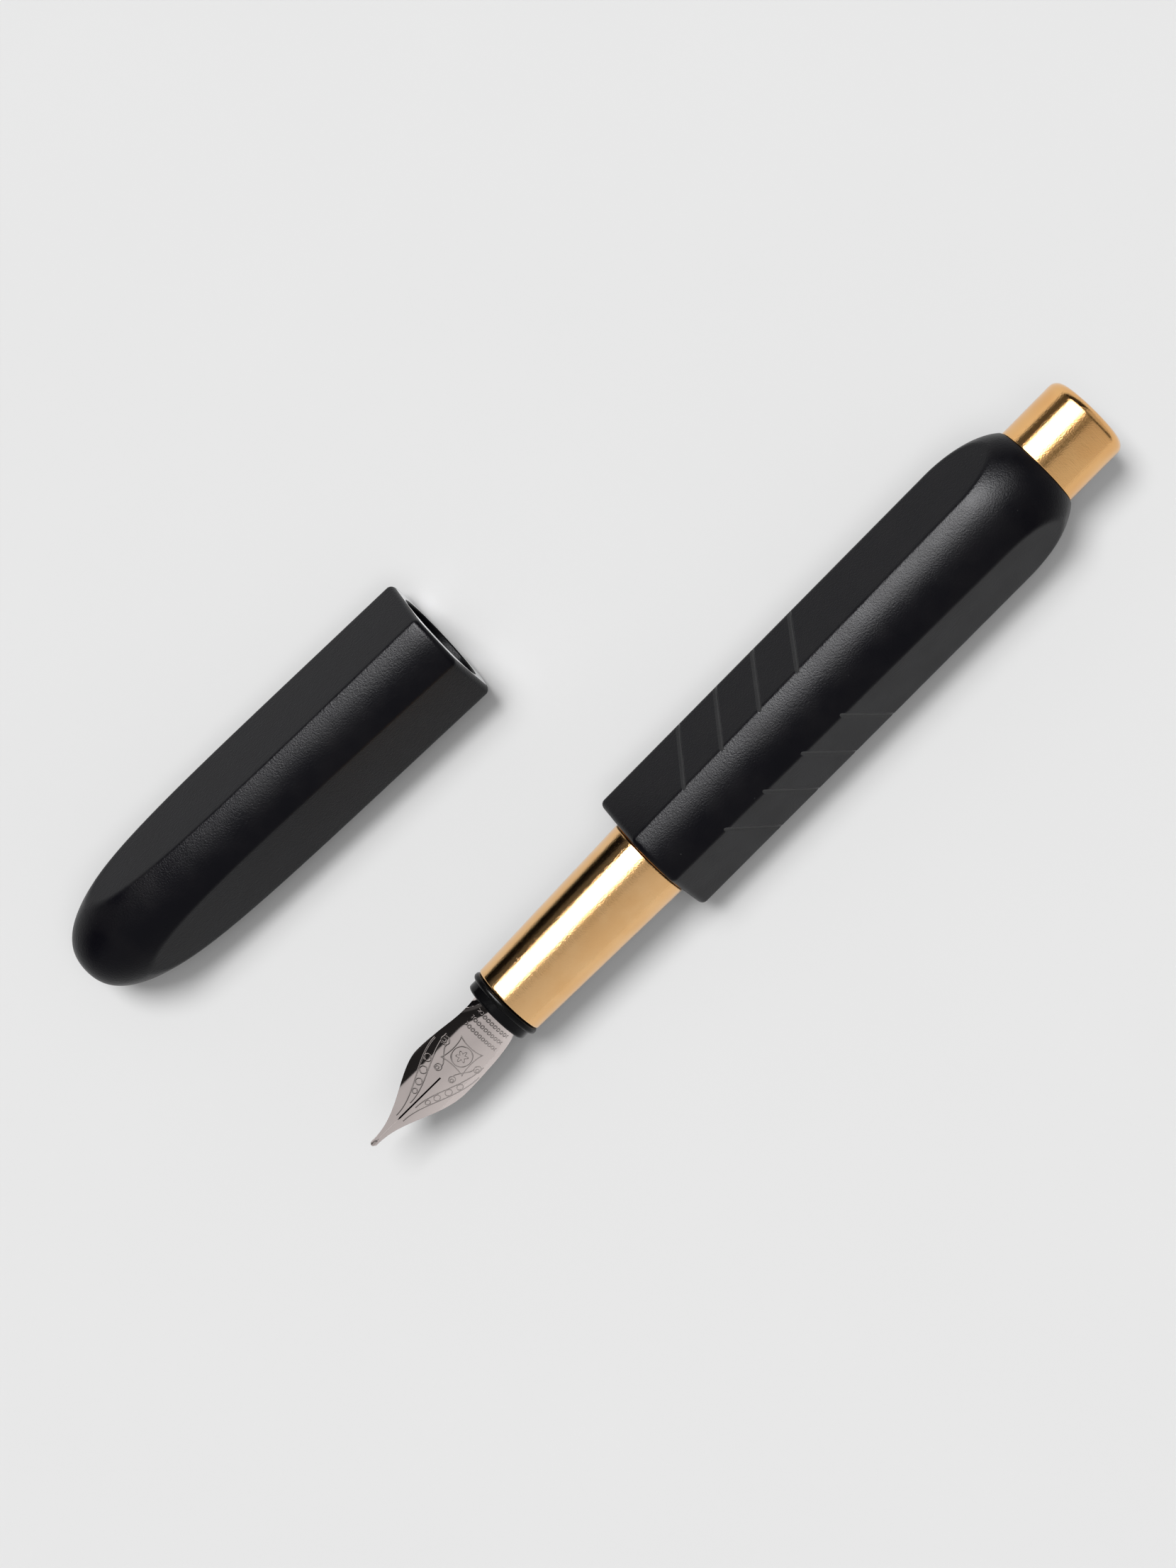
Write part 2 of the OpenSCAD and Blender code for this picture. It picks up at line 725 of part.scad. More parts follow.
// The snap ring inside the inner cap, which the pen's rubber ring passes as the cap closes
module inner_cap_ring() {
    color("#c8c8ca") along_cap()
        ring(seal_r + inner_cap_gap - 0.06, inner_cap_bore_r + snap_depth - press_gap, snap_at + press_gap,
             snap_at + snap_len);
}

module inner_cap_screw() {
    head_r = cap_screw_r + 0.9;
    head_len = 0.6;
    slot_w = 0.4;
    slot_depth = 0.25;
    color("#8f9093") along_cap() difference() {
        union() {
            translate([0, 0, press_gap - cap_room]) cylinder(r = head_r, h = head_len);
            translate([0, 0, -cap_room - cap_screw_len])
                cylinder(r = cap_screw_r - press_gap, h = cap_screw_len + 0.1);
        }
        translate([-slot_w / 2, -head_r - 0.1, press_gap - cap_room + head_len - slot_depth])
            cube([slot_w, 2 * head_r + 0.2, slot_depth + 0.1]);
    }
}

// ---- the pieces

barrel_shell();
barrel_liner();
tail_knob();
tail_screw();
tail_washer();
grip_section();
spigot_o_ring();
nib_housing();
nib_seal_ring();
nib();
nib_point();
feed();
converter_tube();
converter_band();
converter_guide();
turning_knob();
drive_screw();
piston_rod();
piston_seal();
cap_shell();
inner_cap();
inner_cap_ring();
inner_cap_screw();
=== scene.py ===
import json
import math
import bpy
import bmesh
from mathutils import Matrix, Vector

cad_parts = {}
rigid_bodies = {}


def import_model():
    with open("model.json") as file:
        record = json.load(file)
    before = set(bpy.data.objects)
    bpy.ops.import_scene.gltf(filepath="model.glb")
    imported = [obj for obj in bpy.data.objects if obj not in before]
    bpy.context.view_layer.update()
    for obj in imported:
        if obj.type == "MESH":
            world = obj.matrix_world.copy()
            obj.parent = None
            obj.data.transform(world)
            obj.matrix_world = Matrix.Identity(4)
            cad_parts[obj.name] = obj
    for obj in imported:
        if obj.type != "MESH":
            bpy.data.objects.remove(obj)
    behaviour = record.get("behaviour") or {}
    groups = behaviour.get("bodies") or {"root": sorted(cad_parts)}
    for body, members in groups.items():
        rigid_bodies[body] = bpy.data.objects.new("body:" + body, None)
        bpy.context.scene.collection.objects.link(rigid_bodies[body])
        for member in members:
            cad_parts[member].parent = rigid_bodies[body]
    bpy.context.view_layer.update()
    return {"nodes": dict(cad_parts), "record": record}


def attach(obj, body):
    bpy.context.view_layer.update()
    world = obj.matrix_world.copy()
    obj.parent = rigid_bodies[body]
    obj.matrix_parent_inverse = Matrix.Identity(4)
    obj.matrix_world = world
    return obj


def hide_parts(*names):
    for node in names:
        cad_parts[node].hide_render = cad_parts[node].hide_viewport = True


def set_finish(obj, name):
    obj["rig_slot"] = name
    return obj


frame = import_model()
mm = 0.001
closeTo = 1e-5

# Where the pen and the cap lie. Sizes are in millimetres, made metres as a piece is placed
layout = {
    "mouthX": -29.25,   # the barrel's mouth, along the pen
    "axisZ": 6.33,      # height of both axes over the table
    "capAhead": 0.95,
    "capAside": 32.7,
    "capYaw": 2.4,      # degrees
    "nibRoll": 11.0,    # turn of the nib about the pen's axis, degrees
}
alongAxis = Matrix.Rotation(math.radians(90), 4, "Y")
penPlace = Matrix.Translation((layout["mouthX"], 0, layout["axisZ"])) @ alongAxis
capPlace = (Matrix.Translation((layout["mouthX"] + layout["capAhead"], layout["capAside"], layout["axisZ"]))
            @ Matrix.Rotation(math.radians(-layout["capYaw"]), 4, "Z") @ alongAxis)
nibPlace = penPlace @ Matrix.Rotation(math.radians(layout["nibRoll"]), 4, "Z")


def smooth(f):
    f = min(1.0, max(0.0, f))
    return f * f * (3 - 2 * f)


def softMin(a, b, width):
    h = max(width - abs(a - b), 0) / width
    return min(a, b) - h * h * width / 4


def added(name, data):
    thing = bpy.data.objects.new(name, data)
    bpy.context.scene.collection.objects.link(thing)
    return thing


def addedMesh(name, bm):
    mesh = bpy.data.meshes.new(name)
    bm.to_mesh(mesh)
    bm.free()
    return added(name, mesh)


mend = {
    "double": 0.0015,      # closer points are one
    "degenerate": 0.0005,  # shorter edges are dissolved
}


def clean(bm):
    # merges doubles and points the faces out
    bmesh.ops.remove_doubles(bm, verts=bm.verts, dist=mend["double"])
    bmesh.ops.dissolve_degenerate(bm, dist=mend["degenerate"], edges=bm.edges)
    bmesh.ops.recalc_face_normals(bm, faces=bm.faces)


def finishMesh(bm, name, place, smoothAngle=None):
    # cleans the mesh and places it, in metres
    clean(bm)
    for face in bm.faces:
        face.smooth = True
    piece = addedMesh(name, bm)
    piece.data.transform(Matrix.Diagonal((mm, mm, mm, 1)) @ place)
    if smoothAngle:
        piece.data.set_sharp_from_angle(angle=math.radians(smoothAngle))
    return piece


def settle(piece, body, slot, *replaced):
    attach(piece, body)
    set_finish(piece, slot)
    if replaced:
        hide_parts(*replaced)
    return piece


filletShare = 0.49    # of the shorter side at most goes to a corner's fillet
filletLead = 1.12     # the close points beside an arc, as a share of its reach


def rounded(corners, steps=7):
    # corners are (radius, station, fillet); each fillet gets an arc, and a close point on each side of it
    outline = []
    for i, (r, s, fillet) in enumerate(corners):
        here = Vector((r, s))
        if fillet == 0 or i in (0, len(corners) - 1):
            outline.append(here)
            continue
        before, after = Vector(corners[i - 1][:2]) - here, Vector(corners[i + 1][:2]) - here
        turn = before.angle(after)
        reach = min(fillet / math.tan(turn / 2), before.length * filletShare, after.length * filletShare)
        radius = reach * math.tan(turn / 2)
        a, b = before.normalized(), after.normalized()
        centre = here + (a + b).normalized() * (radius / math.sin(turn / 2))
        start, end = here + a * reach - centre, here + b * reach - centre
        sweep = start.angle_signed(end)
        outline.append(here + a * reach * filletLead)
        for k in range(steps + 1):
            outline.append(centre + Matrix.Rotation(-sweep * k / steps, 2) @ start)
        outline.append(here + b * reach * filletLead)
    return outline


def spun(name, outline, place, segments=128, smoothAngle=None):
    bm = bmesh.new()
    verts = [bm.verts.new((p[0], 0, p[1])) for p in outline]
    edges = [bm.edges.new((a, b)) for a, b in zip(verts, verts[1:])]
    bmesh.ops.spin(bm, geom=verts + edges, cent=(0, 0, 0), axis=(0, 0, 1), dvec=(0, 0, 0),
                   angle=2 * math.pi, steps=segments, use_merge=True, use_duplicate=False)
    return finishMesh(bm, name, place, smoothAngle)


section = {
    "bodyR": 7.9,
    "flatDistance": 6.33,
    "flatDraft": 0.42,     # degrees that the two upper flats open towards the tail
    "edgeSoftness": 0.17,  # how far the paint rounds the corner between a flat and the round
    "stripColumns": 9,
    "edgeColumns": 6,
    "flatShares": (0.5, 0.93),  # where across half a flat its columns run
    "stripLead": 0.025,    # a column close beside the edge
}
flatAngles = (0, 120, 240)   # degrees about the axis; 0 is the flat that the pen lies on
halfTurn = math.radians(60)  # from a flat's middle to the strip's middle
draft = math.tan(math.radians(section["flatDraft"]))


def flatDistances(station, less=0.0):
    drafted = section["flatDistance"] + station * draft - less
    return (section["flatDistance"] - less, drafted, drafted)


def ringAngles(radius, distance):
    # angles from a flat's middle, on one side: across the flat, round its edge, then to the strip's middle
    soft = section["edgeSoftness"]
    inner = math.acos(min(1, distance / max(radius - soft, 1e-6)))
    outer = math.acos(min(1, distance / (radius + soft)))
    across = [inner * f for f in section["flatShares"]]
    edge = [inner + (outer - inner) * k / section["edgeColumns"] for k in range(section["edgeColumns"] + 1)]
    count = section["stripColumns"]
    shares = (section["stripLead"], *(k / count for k in range(1, count)))
    return across + edge + [outer + (halfTurn - outer) * f for f in shares]


def flattedRing(radius, distances):
    # one turn of points: (x, y) across the axis, x down
    ring = []
    for angle, distance in zip(flatAngles, distances):
        middle = math.radians(angle)
        side = ringAngles(radius, distance)
        both = [-a for a in reversed(side)] + [0] + side + [halfTurn]
        for a in both:
            reach = softMin(radius, distance / math.cos(a), section["edgeSoftness"])
            ring.append((reach * math.cos(middle + a), reach * math.sin(middle + a)))
    return ring


def roundRing(radius, like):
    return [(radius * x / math.hypot(x, y), radius * y / math.hypot(x, y)) for x, y in like]


def lofted(rings):
    # rings are (station, points); each is extruded from the one before
    bm = bmesh.new()
    column = bm.verts.layers.int.new("column")
    count = len(rings[0][1])
    verts = bmesh.ops.create_circle(bm, segments=count, radius=1)["verts"]
    for k, vert in enumerate(verts):
        vert[column] = k
    edges = list(bm.edges)
    for number, (station, points) in enumerate(rings):
        if number:
            made = bmesh.ops.extrude_edge_only(bm, edges=edges)["geom"]
            verts = [g for g in made if isinstance(g, bmesh.types.BMVert)]
            fresh = set(verts)
            edges = [g for g in made if isinstance(g, bmesh.types.BMEdge) and set(g.verts) <= fresh]
        for vert in verts:
            vert.co = (*points[vert[column]], station)
    return bm


def cutBy(bm, cutters):
    # takes the closed cutters off a mesh, through a Boolean modifier
    for source in (bm, cutters):
        clean(source)
    body, cutter = addedMesh("body", bm), addedMesh("cutter", cutters)
    cut = body.modifiers.new("grooves", "BOOLEAN")
    cut.operation, cut.solver, cut.object = "DIFFERENCE", "EXACT", cutter
    result = bmesh.new()
    result.from_object(body, bpy.context.evaluated_depsgraph_get())
    for thing in (body, cutter):
        mesh = thing.data
        bpy.data.objects.remove(thing)
        bpy.data.meshes.remove(mesh)
    return result


barrel = {
    "length": 58.5,
    "shoulder": 8.9,
    "shoulderTurn": 65,    # degrees of the ellipse that the shoulder runs through
    "tailR": 5.31,
    "tailEdge": 0.12,
    "mouthRound": 0.7,
    "boreR": 4.99,
    "boreEnd": 55.0,
    "screwHoleR": 1.65,
    "straightFrom": 1.0,   # the first station behind the mouth's rounding
    "stations": 24,
    "shoulderStations": 56,
    "boreStations": 6,
    "outsideR": 5.8,       # nothing of the bore is as far out
}
groove = {
    "count": 4,
    "first": 10.106,
    "pitch": 5.7,
    "lean": 23,            # degrees
    "r": 0.26,
    "depth": 0.2,
    "flare": 0.07,         # how far the paint rounds each lip
    "lip": ((0.0, 0.0), (0.012, 0.35), (0.045, 0.72)),  # steps of the rounding: depth, and share of the flare
    "sweep": 70,           # degrees that its round bottom reaches to each side
    "sweepSteps": 12,
    "high": 0.6,           # how far the cutter stands out of the flat
    "halfLength": 12.0,
    "under": (-0.002, 0.3),  # its faces lie this far under the flat
    "slack": 0.02,
}


def filletSteps(radius, steps=8):
    # (way along, taken off) from the end face to the side
    turns = [math.radians(90 * (1 - k / steps)) for k in range(steps + 1)]
    return [(radius * (1 - math.sin(t)), radius * (1 - math.cos(t))) for t in turns]


def barrelRings():
    b, bodyR = barrel, section["bodyR"]
    outer = [(z, bodyR - off, off) for z, off in filletSteps(b["mouthRound"])]
    straightEnd = b["length"] - b["shoulder"]
    start = b["straightFrom"]
    outer += [(start + (straightEnd - start) * k / b["stations"], bodyR, 0) for k in range(b["stations"])]
    turn = math.radians(b["shoulderTurn"])
    a = b["shoulder"] / math.sin(turn)
    fall = (bodyR - b["tailR"]) / (1 - math.cos(turn))
    for k in range(b["shoulderStations"] + 1):
        t = turn * k / b["shoulderStations"]
        outer.append((straightEnd + a * math.sin(t), bodyR - fall * (1 - math.cos(t)), 0))
    mouth = flattedRing(outer[0][1], flatDistances(0, b["mouthRound"]))
    rings = [(0, roundRing(b["boreR"], mouth))]
    for z, radius, off in outer:
        rings.append((z, flattedRing(radius, flatDistances(z, off))))
    tail = rings.pop()[1]
    for z, off in reversed(filletSteps(b["tailEdge"], 5)):
        rings.append((b["length"] - z, roundRing(b["tailR"] - off, tail)))
    rings.append((b["length"], roundRing(b["screwHoleR"], tail)))
    rings.append((b["boreEnd"], roundRing(b["screwHoleR"], tail)))
    steps = b["boreStations"]
    rings += [(b["boreEnd"] * (1 - k / steps), roundRing(b["boreR"], mouth)) for k in range(steps + 1)]
    return rings


def grooveCutters():
    # a round-bottomed bar for each groove, its lips flared
    g = groove
    across = []
    for k in range(1, g["sweepSteps"]):
        t = math.radians(g["sweep"] * (2 * k / g["sweepSteps"] - 1))
        across.append((g["r"] - g["depth"] - g["r"] * math.cos(t), g["r"] * math.sin(t)))
    wide = g["r"] * math.sin(math.radians(g["sweep"])) + g["flare"]
    lip = [(g["high"], -wide)] + [(-x, -wide + g["flare"] * share) for x, share in g["lip"]]
    outline = lip + across + [(x, -y) for x, y in reversed(lip)]
    bm = bmesh.new()
    for flat in (1, 2):
        lean = g["lean"] if flat == 2 else -g["lean"]
        for k in range(g["count"]):
            place = (Matrix.Rotation(math.radians(flatAngles[flat]), 4, "Z")
                     @ Matrix.Translation((section["flatDistance"], 0, 0))
                     @ Matrix.Rotation(math.radians(section["flatDraft"]), 4, "Y")
                     @ Matrix.Translation((0, 0, g["first"] + k * g["pitch"]))
                     @ Matrix.Rotation(math.radians(lean), 4, "X"))
            verts = [bm.verts.new(place @ Vector((x, -g["halfLength"], z))) for x, z in outline]
            face = bm.faces.new(verts)
            made = bmesh.ops.extrude_face_region(bm, geom=[face])["geom"]
            moved = [v for v in made if isinstance(v, bmesh.types.BMVert)]
            bmesh.ops.translate(bm, verts=moved, vec=place.to_3x3() @ Vector((0, 2 * g["halfLength"], 0)))
    return bm


def inGroove(point, flat):
    # below the flat's face, and within a groove's width of one of the grooves' lines
    g, angle = groove, math.radians(flatAngles[flat])
    out = point.x * math.cos(angle) + point.y * math.sin(angle)
    across = point.y * math.cos(angle) - point.x * math.sin(angle)
    lean = math.tan(math.radians(g["lean"] if flat == 2 else -g["lean"]))
    along = point.z - across * lean - g["first"]
    off = abs(along - g["pitch"] * min(g["count"] - 1, max(0, round(along / g["pitch"]))))
    deep = flatDistances(point.z)[flat] - out
    return g["under"][0] < deep < g["under"][1] and off < g["r"] + g["flare"] + g["slack"]


barrelMesh = cutBy(lofted(barrelRings()), grooveCutters())
# faces down in the grooves take the second finish, which is painted lighter: a painted sheen along the grooves
for face in barrelMesh.faces:
    corners = [corner.co for corner in face.verts]
    outside = min(math.hypot(corner.x, corner.y) for corner in corners) > barrel["outsideR"]
    if outside and any(all(inGroove(corner, flat) for corner in corners) for flat in (1, 2)):
        face.material_index = 1
barrelPiece = finishMesh(barrelMesh, "barrel_body", penPlace, 14)
settle(barrelPiece, "barrel", "soft_black", "barrel_shell")
print("barrel:", len(barrelPiece.data.polygons), "faces")

cap = {
    "length": 52.8,
    "domeLength": 52.0,
    "domePower": 5.94,
    "domeRoot": 0.4,
    "mouthRound": 0.7,
    "boreR": 5.4,
    "boreLength": 16.9,
    "seatR": 5.19,
    "seatEnd": 45.55,
    "screwHoleR": 1.0,
    "screwHoleEnd": 48.55,
    "rimChamfer": (0.13, 0.03, 0.0),  # how much wider the bore is at each of three depths
    "rimDepths": (0, 0.1, 0.16),
    "boreStations": (6, 12),
    "seatStation": 30,
    "stations": 90,
    "crowding": 2.2,       # how much closer the stations lie at the tip
    "mouthLead": 1.6,      # mouth roundings that the last of them keeps from the mouth
}


def capRings():
    c, bodyR = cap, section["bodyR"]
    outer = []
    for k in range(1, c["stations"] + 1):
        f = (k / c["stations"]) ** c["crowding"]
        radius = bodyR * (1 - (1 - f) ** c["domePower"]) ** c["domeRoot"]
        z = -c["length"] + f * c["domeLength"]
        if z < -c["mouthRound"] * c["mouthLead"]:
            outer.append((z, radius, 0))
    outer += [(-z, bodyR - off, off) for z, off in reversed(filletSteps(c["mouthRound"], 10))]
    rings = [(z, flattedRing(radius, flatDistances(z, off))) for z, radius, off in outer]
    mouth = rings[-1][1]
    tip = rings[0][1]
    rings.insert(0, (-c["length"], [(0, 0)] * len(tip)))
    bore = [(c["boreR"] + wider, depth) for wider, depth in zip(c["rimChamfer"], c["rimDepths"])]
    bore += [(c["boreR"], depth) for depth in (*c["boreStations"], c["boreLength"])]
    bore += [(c["seatR"], depth) for depth in (c["boreLength"], c["seatStation"], c["seatEnd"])]
    bore += [(c["screwHoleR"], depth) for depth in (c["seatEnd"], c["screwHoleEnd"])]
    for radius, depth in bore:
        rings.append((-depth, roundRing(radius, mouth)))
    rings.append((-c["screwHoleEnd"], [(0, 0)] * len(tip)))
    return rings


capMesh = lofted(capRings())
for face in capMesh.faces:
    if all(abs(vert.co.z) < closeTo for vert in face.verts):
        face.material_index = 1
capPiece = finishMesh(capMesh, "cap_body", capPlace, 20)
settle(capPiece, "cap", "soft_black", "cap_shell")
print("cap:", len(capPiece.data.polygons), "faces")

grip = {
    "front": -22.05,
    "frontR": 4.42,
    "frontRound": 0.3,
    "rearR": 5.0,
    "rearRound": 0.42,
    "gap": 0.05,           # left before the barrel's face
    "spigotR": 4.18,
    "crestR": 4.48,
    "pitch": 0.75,
    "crestStart": 1.55,
    "crests": 9,
    "crestShares": (0.4, 0.6),  # of the pitch, between which a crest is flat
    "spigotEnd": 9.0,
    "spigotRound": 0.2,
    "frontBoreR": 3.65,
    "frontBoreEnd": -12.05,
    "rearBoreR": 3.75,
    "grooveR": 4.03,
    "grooveAt": 0.55,
    "grooveWidth": 0.7,
}


def gripOutline():
    g = grip
    corners = [(g["frontBoreR"], g["front"], 0), (g["frontR"], g["front"], g["frontRound"]),
               (g["rearR"], -g["gap"], g["rearRound"]), (g["spigotR"], -g["gap"], 0),
               (g["spigotR"], g["grooveAt"], 0), (g["grooveR"], g["grooveAt"], 0),
               (g["grooveR"], g["grooveAt"] + g["grooveWidth"], 0),
               (g["spigotR"], g["grooveAt"] + g["grooveWidth"], 0)]
    outline = rounded(corners, 9)
    for k in range(g["crests"]):
        s = g["crestStart"] + k * g["pitch"]
        outline.append(Vector((g["spigotR"], s)))
        outline += [Vector((g["crestR"], s + share * g["pitch"])) for share in g["crestShares"]]
    last = g["crestStart"] + g["crests"] * g["pitch"]
    outline.append(Vector((g["spigotR"], last)))
    outline += rounded([(g["spigotR"], last + 0.01, 0), (g["spigotR"], g["spigotEnd"], g["spigotRound"]),
                        (g["rearBoreR"], g["spigotEnd"], 0)])
    outline += [Vector((g["rearBoreR"], g["frontBoreEnd"])), Vector((g["frontBoreR"], g["frontBoreEnd"])),
                Vector((g["frontBoreR"], g["front"]))]
    return outline


gripPiece = settle(spun("grip", gripOutline(), penPlace, 160, 24), "section", "polished_brass", "grip_section")

knob = {
    "front": 58.51,
    "back": 66.75,
    "r": 5.13,
    "frontEdge": 0.15,
    "backRound": 1.1,
    "screwR": 1.51,
    "screwEnd": 63.75,
}
knobOutline = rounded([(knob["screwR"], knob["front"], 0), (knob["r"], knob["front"], knob["frontEdge"]),
                       (knob["r"], knob["back"], knob["backRound"]), (0, knob["back"], 0)], 14)
knobOutline += [Vector((0, knob["screwEnd"])), Vector((knob["screwR"], knob["screwEnd"])),
                Vector((knob["screwR"], knob["front"]))]
knobPiece = settle(spun("knob", knobOutline, penPlace, 160, 24), "barrel", "polished_brass", "tail_knob")

seal = {
    "r": 4.52,
    "round": 0.36,
    "front": -22.89,
    "back": -22.1,
    "neckR": 3.33,
}
sealOutline = rounded([(seal["neckR"], seal["front"], 0), (seal["r"], seal["front"], seal["round"]),
                       (seal["r"], seal["back"], seal["round"]), (seal["neckR"], seal["back"], 0)], 9)
sealOutline.append(sealOutline[0].copy())
settle(spun("rubber_ring", sealOutline, penPlace, 128, 30), "nib_unit", "rubber", "nib_seal_ring")
print("turned pieces made")

nib = {
    "tip": -43.55,
    "length": 19.5,
    "whole": 29.0,         # with what sits in the housing
    "halfWidth": 3.68,
    "tipHalfWidth": 0.34,
    "tailHalfWidth": 2.98,
    "shoulderAt": 10.6,
    "thickness": 0.28,
    "tipHeight": 2.35,
    "tailHeight": 3.01,
    "frontCurve": 5.2,
    "curveFrom": 15.5,
    "slit": (0.05, 0.19),  # its width in front of the feed, and over it
    "slitWidens": (3.75, 4.05),
    "slitLength": 10.3,
    "frontPower": 1.15,    # how the outline swells towards the shoulders
    "tailPast": 1.5,       # how far into the housing it goes on narrowing
    "tipThicker": (1.25, 2.0),  # how much thicker the tip is, and over what length
    "weldIn": 0.35,
    "rows": 195,
    "rowsInside": 18,
    "columns": 64,
}


def nibHalfWidth(d):
    n = nib
    if d < n["shoulderAt"]:
        swell = smooth((d / n["shoulderAt"]) ** n["frontPower"])
        return n["tipHalfWidth"] + (n["halfWidth"] - n["tipHalfWidth"]) * swell
    narrowing = smooth((d - n["shoulderAt"]) / (n["length"] + n["tailPast"] - n["shoulderAt"]))
    return n["halfWidth"] - (n["halfWidth"] - n["tailHalfWidth"]) * narrowing


def nibPointAt(d, y, under):
    # a point of the sheet at a distance from the tip and a way across, on top or below
    n = nib
    top = n["tipHeight"] + (n["tailHeight"] - n["tipHeight"]) * smooth(d / n["length"])
    curve = n["frontCurve"] + (n["tailHeight"] - n["frontCurve"]) * smooth(
        (d - n["curveFrom"]) / (n["length"] - n["curveFrom"]))
    a = math.asin(max(-0.995, min(0.995, y / curve)))
    thicker, over = n["tipThicker"]
    t = under * n["thickness"] * (1 + (thicker - 1) * max(0, 1 - d / over))
    return Vector((curve - top - (curve - t) * math.cos(a), (curve - t) * math.sin(a), n["tip"] + n["weldIn"] + d))


def nibMesh():
    n = nib
    bm = bmesh.new()
    place = bm.verts.layers.float_vector.new("place")
    rows = [n["length"] * k / n["rows"] for k in range(n["rows"] + 1)]
    rows += [n["length"] + (n["whole"] - n["length"]) * k / n["rowsInside"] for k in range(1, n["rowsInside"] + 1)]
    half = n["columns"] // 2
    bmesh.ops.create_grid(bm, x_segments=2 * half + 1, y_segments=len(rows) - 1, size=1)
    narrow, wide = n["slit"]
    widens, wideBy = n["slitWidens"]
    for vert in bm.verts:
        d = rows[round((vert.co.y + 1) / 2 * (len(rows) - 1))]
        column = round((vert.co.x + 1) / 2 * (2 * half + 1))
        side = -1 if column <= half else 1
        share = (half - column if side < 0 else column - half - 1) / half
        gap = (narrow + (wide - narrow) * smooth((d - widens) / (wideBy - widens))) / 2
        vert[place] = (d, side * (gap + share * (nibHalfWidth(d) - gap)), share)
    gone = []
    for face in bm.faces:
        inSlit = all(abs(v[place].z) < closeTo for v in face.verts)
        if inSlit and max(v[place].x for v in face.verts) <= n["slitLength"] + closeTo:
            gone.append(face)
    bmesh.ops.delete(bm, geom=gone, context="FACES")
    made = bmesh.ops.extrude_face_region(bm, geom=list(bm.faces))["geom"]
    below = {g for g in made if isinstance(g, bmesh.types.BMVert)}
    for vert in bm.verts:
        d, y, _ = vert[place]
        vert.co = nibPointAt(d, y, 1 if vert in below else 0)
    return bm


nibPiece = settle(finishMesh(nibMesh(), "nib_sheet", nibPlace, 40), "nib_unit", "nib_steel", "nib")
bead = {
    "r": 0.34,
    "length": 1.05,
    "below": 0.27,         # its middle, under the nib's top
    "bluntness": 0.8,
    "steps": 24,
}
beadOutline = [Vector((bead["r"] * max(0.0, math.sin(t)) ** bead["bluntness"],
                       bead["length"] / 2 * (1 - math.cos(t))))
               for t in (math.pi * k / bead["steps"] for k in range(bead["steps"] + 1))]
beadPlace = nibPlace @ Matrix.Translation((bead["below"] - nib["tipHeight"], 0, nib["tip"]))
beadPiece = settle(spun("hard_point", beadOutline, beadPlace, 48), "nib_unit", "nib_steel", "nib_point")
print("nib:", len(nibPiece.data.polygons), "faces")


class Value:
    # a socket that takes part in Python arithmetic
    def __init__(self, tree, socket):
        self.tree, self.socket = tree, socket

    def maths(self, operation, *parts):
        node = self.tree.nodes.new("ShaderNodeMath")
        node.operation = operation
        for k, part in enumerate(parts):
            if isinstance(part, Value):
                self.tree.links.new(part.socket, node.inputs[k])
            else:
                node.inputs[k].default_value = part
        return Value(self.tree, node.outputs[0])

    def __add__(self, other): return self.maths("ADD", self, other)
    def __sub__(self, other): return self.maths("SUBTRACT", self, other)
    def __mul__(self, other): return self.maths("MULTIPLY", self, other)
    def __truediv__(self, other): return self.maths("DIVIDE", self, other)
    def __pow__(self, other): return self.maths("POWER", self, other)
    def __gt__(self, other): return self.maths("GREATER_THAN", self, other)
    def __lt__(self, other): return self.maths("LESS_THAN", self, other)
    def __abs__(self): return self.maths("ABSOLUTE", self)
    def least(self, other): return self.maths("MINIMUM", self, other)


class Finish:
    # a material or the world, with its nodes made by one method
    def __init__(self, owner):
        owner.use_nodes = True
        self.owner, self.tree = owner, owner.node_tree
        self.tree.nodes.clear()

    def node(self, kind, settings=None, inputs=None, output=0):
        node = self.tree.nodes.new(kind)
        for name, value in (settings or {}).items():
            if name == "stops":
                ramp = node.color_ramp
                while len(ramp.elements) < len(value):
                    ramp.elements.new(1)
                for element, (at, colour) in zip(ramp.elements, value):
                    element.position = at
                    element.color = (*colour, 1) if isinstance(colour, tuple) else (colour, colour, colour, 1)
            else:
                setattr(node, name, value)
        for name, value in (inputs or {}).items():
            if isinstance(value, Value):
                self.tree.links.new(value.socket, node.inputs[name])
            else:
                node.inputs[name].default_value = value
        return Value(self.tree, node.outputs[output])

    def place(self):
        return self.node("ShaderNodeTexCoord", output="Object")

    def noise(self, vector, scale, detail=2.0, roughness=0.5):
        return self.node("ShaderNodeTexNoise", None, {"Vector": vector, "Scale": scale, "Detail": detail,
                                                      "Roughness": roughness}, "Fac")

    def mix(self, share, a, b):
        return self.node("ShaderNodeMix", {"data_type": "RGBA", "clamp_factor": True}, {0: share, 6: a, 7: b}, 2)

    def spread(self, value, low, high, to0=0.0, to1=1.0):
        return self.node("ShaderNodeMapRange", {"interpolation_type": "SMOOTHSTEP"},
                         {"Value": value, "From Min": low, "From Max": high, "To Min": to0, "To Max": to1})

    def bump(self, height, distance, strength=1.0, invert=False):
        return self.node("ShaderNodeBump", {"invert": invert},
                         {"Height": height, "Distance": distance, "Strength": strength})

    def parts(self, vector):
        return [self.node("ShaderNodeSeparateXYZ", None, {0: vector}, k) for k in range(3)]

    def attribute(self, name):
        return self.node("ShaderNodeAttribute", {"attribute_name": name}, None, "Vector")

    def surface(self, inputs):
        shader = self.node("ShaderNodeBsdfPrincipled", None, inputs)
        self.finishWith(shader)
        return self.owner

    def finishWith(self, shader):
        kind = "ShaderNodeOutputWorld" if isinstance(self.owner, bpy.types.World) else "ShaderNodeOutputMaterial"
        out = self.tree.nodes.new(kind)
        self.tree.links.new(shader.socket, out.inputs["Surface"])


